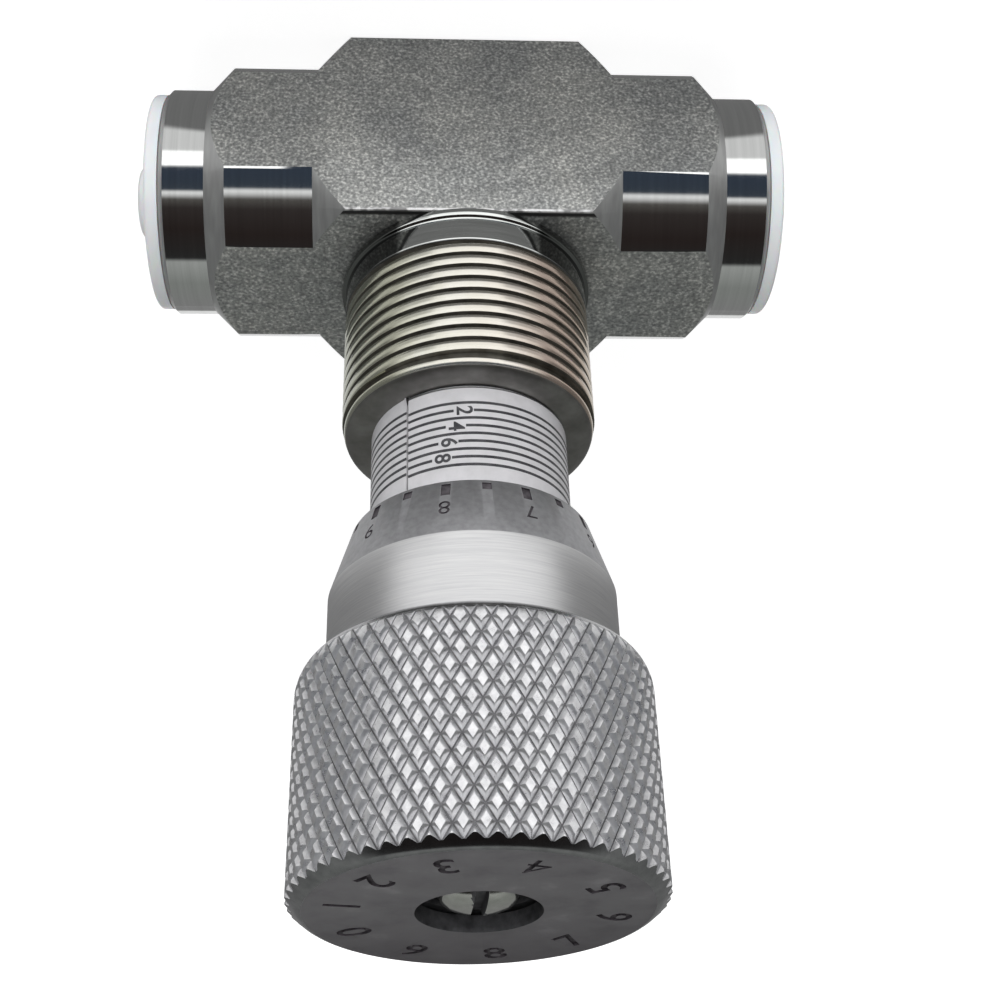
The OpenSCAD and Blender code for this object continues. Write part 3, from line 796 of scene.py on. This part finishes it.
def make_knob():
    core = turned("knob_core", [
        (SKIRT_EDGE_R, KNOB_Z), (SKIRT_R, BAND_Z), (SKIRT_R, GRIP_Z + 0.1), (KNURL_CORE_R, GRIP_Z + 0.1),
        (KNURL_CORE_R, KNOB_END - 2), (RECESS_R, KNOB_END - 2), (RECESS_R, RECESS_Z), (3.3, RECESS_Z),
        (3.3, CEILING_Z), (KNOB_BORE_R, CEILING_Z), (KNOB_BORE_R, KNOB_Z), (SKIRT_EDGE_R, KNOB_Z)], steps=174)
    ease_edges(core, 0.1, angle=14)
    lock_hole = turned("lock_hole", [(0, 9), (LOCK_HOLE_R, 9), (LOCK_HOLE_R, 14), (0, 14)], steps=48)
    lock_hole.rotation_euler = (math.radians(-90), 0, 0)
    lock_hole.location = (0, 0, LOCK_Z * MM)
    cut(core, settle(lock_hole))
    cut(core, skirt_marks())
    knob = join("knob_knurled", core, make_knurl())
    coat(knob, satin_aluminium(), brushed_band(), knurled_aluminium(), faced_aluminium(), stamped_ink(),
         knurl_groove(), rounded_edge())
    satin, band, knurled, faced, stamped, groove, edge = range(7)
    for face in knob.data.polygons:
        c, n = face.center / MM, face.normal
        r = math.hypot(c.x, c.y)
        in_bore = r < KNOB_BORE_R + 0.1 and c.z < CEILING_Z + 0.1
        on_end_edge = c.z > KNOB_END - 0.9 and n.z > 0.3 and r > END_FACE_R
        on_shoulder_edge = GRIP_Z - 0.01 < c.z < GRIP_Z + 1.1 and n.z < -0.3
        # The recess and the bore take the painted shade
        if r < RECESS_R + 0.1 or in_bore:
            face.material_index = groove
        elif c.z > KNOB_END - 0.45 and r < END_FACE_R:
            face.material_index = stamped if c.z < KNOB_END - 0.02 else faced
        # The rounded end edge and the shoulder's underside take the darker painted shade
        elif on_end_edge or on_shoulder_edge:
            face.material_index = edge
        # The knurl's groove floors take the painted shade, its diamonds the knurled finish
        elif c.z > GRIP_Z - 0.02:
            face.material_index = groove if r < GRIP_R - KNURL_DEPTH + 0.02 else knurled
        elif c.z > BAND_Z - 0.02:
            face.material_index = band
        else:
            sunk = r < skirt_surface(c.z) - 0.03 and c.z > KNOB_Z + 0.2
            face.material_index = stamped if sunk else satin
    smooth(knob, 38)
    finish_piece(knob, "spindle_and_knob", "satin_aluminium", "knob")


def make_screw():
    """The knob's screw, with a domed head and a slot whose faces carry painted shade."""
    screw = turned("knob_screw_domed", [
        (0, 80.25), (1.6, 80.25), (2, 80.65), (2, 88.22), (3.5, 88.22), (3.5, 89.5), (3.4, 89.9), (3.05, 90.3),
        (2.4, 90.65), (1.4, 90.88), (0, 90.95)], steps=96)
    put_down()
    bpy.ops.mesh.primitive_cube_add(size=MM, location=(0, 0, 90.6 * MM), scale=(1.1, 9, 2))
    slot = settle(bpy.context.object)
    slot.rotation_euler = (0, 0, math.radians(-4))
    cut(screw, settle(slot))
    ease_edges(screw, 0.07, angle=50)
    smooth(screw, 40)
    coat(screw, bright_screw(), knurl_groove())
    # The slot's faces take the painted shade of the hollows
    for face in screw.data.polygons:
        c = face.center / MM
        face.material_index = 1 if abs(c.x) < 0.62 and c.z > 89.5 else 0
    finish_piece(screw, "spindle_and_knob", "nickel_plated_steel", "knob_screw")


def face_numbers():
    """Cutter for the numbers on the knob's end face."""
    ring_r = 11.5
    marks = []
    for number, angle in zip("1234567890", (-79, -47, -15, 21, 60, 98, 134, 171, 208, 246)):
        # A 4 is left thin, because thicker strokes would close its corner
        stamp = digit(number, 4.3, 0.4, 0 if number == "4" else 0.06)
        a = math.radians(angle)
        stamp.rotation_euler = (0, 0, -a)
        stamp.location = Vector((-ring_r * math.sin(a), -ring_r * math.cos(a), KNOB_END)) * MM
        marks.append(settle(stamp))
    return join("face_numbers", *marks)


def skirt_marks():
    """Cutter for the marks and numbers round the skirt."""
    marks = []
    cone_turn = math.degrees(math.atan2(SKIRT_R - SKIRT_EDGE_R, BAND_Z - KNOB_Z))
    for mark in range(20):
        angle = -49 + 18 * mark
        numbered = mark % 2 == 0
        length = 1.5 if numbered else 0.9
        put_down()
        bpy.ops.mesh.primitive_cube_add(size=MM, scale=(0.85, length, 0.3))
        z = KNOB_Z + 0.35 + length / 2
        marks.append(face_out(settle(bpy.context.object), angle, skirt_surface(z), z, lean=cone_turn))
        if numbered:
            z = KNOB_Z + 3.3
            stamp = digit(str((9 - mark // 2) % 10), 2.4, 0.3)
            marks.append(face_out(stamp, angle, skirt_surface(z), z, lean=cone_turn))
    return join("skirt_marks", *marks)


# Camera, studio and light

def place_camera():
    """Looks down past the knob at the body; the picture's top is the valve's base, and its left is +X."""
    put_down()
    bpy.ops.object.camera_add()
    camera = bpy.context.object
    camera.name = "photo_camera"
    pitch, yaw, roll = 0.5776, 0.0555, -0.0017
    ahead = Vector((0, math.cos(pitch), -math.sin(pitch)))
    below = Vector((0, math.sin(pitch), math.cos(pitch)))
    aside = Vector((-1, 0, 0))
    ahead_turned = ahead * math.cos(yaw) + aside * math.sin(yaw)
    aside_turned = aside * math.cos(yaw) - ahead * math.sin(yaw)
    right = aside_turned * math.cos(roll) + below * math.sin(roll)
    up = -(below * math.cos(roll) - aside_turned * math.sin(roll))
    turn = Matrix((right, up, -ahead_turned)).transposed().to_4x4()
    camera.matrix_world = Matrix.Translation(Vector((5.28, -122.82, 130.94)) * MM) @ turn
    camera.data.lens, camera.data.sensor_width = 54.95, 36
    camera.data.clip_start, camera.data.clip_end = 0.01, 20
    bpy.context.scene.camera = camera


def lay_floor():
    put_down()
    bpy.ops.mesh.primitive_circle_add(vertices=96, radius=1.6, fill_type="NGON", location=(0, 0, -0.0002))
    floor = settle(bpy.context.object)
    floor.name = "studio_floor"
    material = bpy.data.materials.new("pale_floor")
    material.use_nodes = True
    board = Board(material.node_tree)
    board.tree.nodes.clear()
    out = board.node("ShaderNodeOutputMaterial")
    path = board.node("ShaderNodeLightPath").outputs
    place = board.node("ShaderNodeTexCoord").outputs["Object"]
    paint = board.node("ShaderNodeBsdfDiffuse")
    paint.inputs["Color"].default_value = (*grey(0.8), 1)
    length = board.node("ShaderNodeVectorMath", operation="LENGTH")
    board.link(place, length.inputs[0])
    reach = length.outputs["Value"]
    # The eye sees a white floor with the valve's shadow on it
    glow = board.node("ShaderNodeEmission")
    glow.inputs["Color"].default_value = (*grey(1), 1)
    board.link(board.eased(reach, 0.12, 0.45, 0.72, 1.0), glow.inputs["Strength"])
    lit = board.node("ShaderNodeAddShader")
    board.link(paint.outputs["BSDF"], lit.inputs[0])
    board.link(glow.outputs["Emission"], lit.inputs[1])
    # Polished metal doesn't see the lit floor but a painted reflection of it: a glow that is dim round the valve, a
    # painted shadow, and bright beyond a line in front of it
    axes = board.axes(place)
    front = board.step("MULTIPLY", axes["Y"], -1)
    slant = board.step("DIVIDE", board.step("ABSOLUTE", axes["X"]), board.step("MAXIMUM", front, 0.001))
    close = board.step("ADD", board.eased(slant, 0.5, 0.6, 1.15, 0.62), board.eased(slant, 3.5, 5, 0.0, 0.12))
    wide = board.eased(slant, 0.7, 2.8, 1.25, 0.22)

    def share(part, one, other):
        rest = board.step("MULTIPLY", other, board.step("SUBTRACT", 1, part))
        return board.step("ADD", board.step("MULTIPLY", one, part), rest)

    beyond = share(board.eased(reach, 0.095, 0.115), wide, close)
    level = share(board.eased(reach, 0.044, 0.049), beyond, 0.15)
    painted_reflection = board.node("ShaderNodeEmission")
    board.link(level, painted_reflection.inputs["Strength"])
    in_metal = board.choose(path["Is Glossy Ray"], paint.outputs["BSDF"], painted_reflection.outputs["Emission"])
    board.link(board.choose(path["Is Camera Ray"], in_metal, lit.outputs["Shader"]), out.inputs["Surface"])
    floor.data.materials.append(material)


def hang_world():
    """White behind the valve; what the metal mirrors is pale walls, dark flags overhead and one thin light."""
    world = bpy.data.worlds.new("studio_world")
    bpy.context.scene.world = world
    world.use_nodes = True
    board = Board(world.node_tree)
    board.tree.nodes.clear()
    out = board.node("ShaderNodeOutputWorld")
    axes = board.axes(board.node("ShaderNodeTexCoord").outputs["Generated"])
    climb_angle = board.step("ARCTAN2", axes["Z"], board.step("MULTIPLY", axes["Y"], -1))
    turn = board.step("ADD", board.step("DIVIDE", climb_angle, 2 * math.pi), 0.5)
    # Levels by the angle up from straight ahead, which is -Y
    levels = [(-180, grey(0.3)), (-100, grey(0.3)), (-24, grey(0.9)), (-20, grey(1.5)), (3, grey(1.5)),
              (6, (0.03, 0.04, 0.06)), (30, (0.035, 0.045, 0.06)), (31.8, grey(0.8)), (34, grey(0.7)),
              (39, (0.08, 0.075, 0.07)), (48, (0.03, 0.025, 0.024)), (70, (0.02, 0.015, 0.014)),
              (103, grey(0.02)), (107, (0.3, 0.31, 0.3)), (135, (0.2, 0.21, 0.2)), (180, grey(0.2))]
    bands = board.ramp(turn, [((angle + 180) / 360, colour) for angle, colour in levels])
    # Towards the sides the bands fade into plain grey walls
    fade = board.eased(board.step("ABSOLUTE", axes["X"]), 0.55, 0.9)
    studio = board.node("ShaderNodeBackground")
    board.link(board.blend(fade, bands, (0.165, 0.168, 0.168)), studio.inputs["Color"])
    white = board.node("ShaderNodeBackground")
    white.inputs["Color"].default_value = (*grey(1), 1)
    path = board.node("ShaderNodeLightPath").outputs
    direct = board.step("MAXIMUM", path["Is Camera Ray"], path["Is Transmission Ray"])
    seen = board.choose(direct, studio.outputs["Background"], white.outputs["Background"])
    board.link(seen, out.inputs["Surface"])


def hang_lamp(name, spot, size, power):
    put_down()
    bpy.ops.object.light_add(type="AREA", location=spot)
    lamp = bpy.context.object
    lamp.name = name
    lamp.data.shape, lamp.data.size, lamp.data.energy = "DISK", size, power
    aim = Vector((0, 0, 0.045)) - Vector(spot)
    lamp.rotation_euler = aim.to_track_quat("-Z", "Y").to_euler()
    lamp.visible_glossy = False
    lamp.visible_camera = False


def light_studio():
    hang_lamp("front_lamp", (0.05, -0.75, 0.2), 0.6, 5)
    hang_lamp("top_lamp", (-0.2, 0.1, 0.9), 0.7, 0.9)
    hang_lamp("back_lamp", (0.3, 0.7, 0.4), 0.5, 2)


# CAD pieces that keep their own shape

def dress_cad_nodes():
    finishes = {
        "bonnet_o_ring": seal_rubber(), "spindle_o_ring": seal_rubber(), "spindle_backup_ring": seal_plastic(),
        "spindle": ground_steel(), "knob_washer": ground_steel(), "knob_screw": bright_screw(),
        "lock_pad": turned_brass(), "lock_screw": black_oxide()}
    plastic = plug_plastic()
    finishes["port_plug_left"] = finishes["port_plug_right"] = plastic
    for node, finish in finishes.items():
        coat(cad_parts[node], finish)


put_down()
make_body()
make_bonnet()
make_label()
print_scale()
make_knob()
make_screw()
dress_cad_nodes()
place_camera()
lay_floor()
hang_world()
light_studio()

bpy.context.scene.view_settings.view_transform = "Standard"
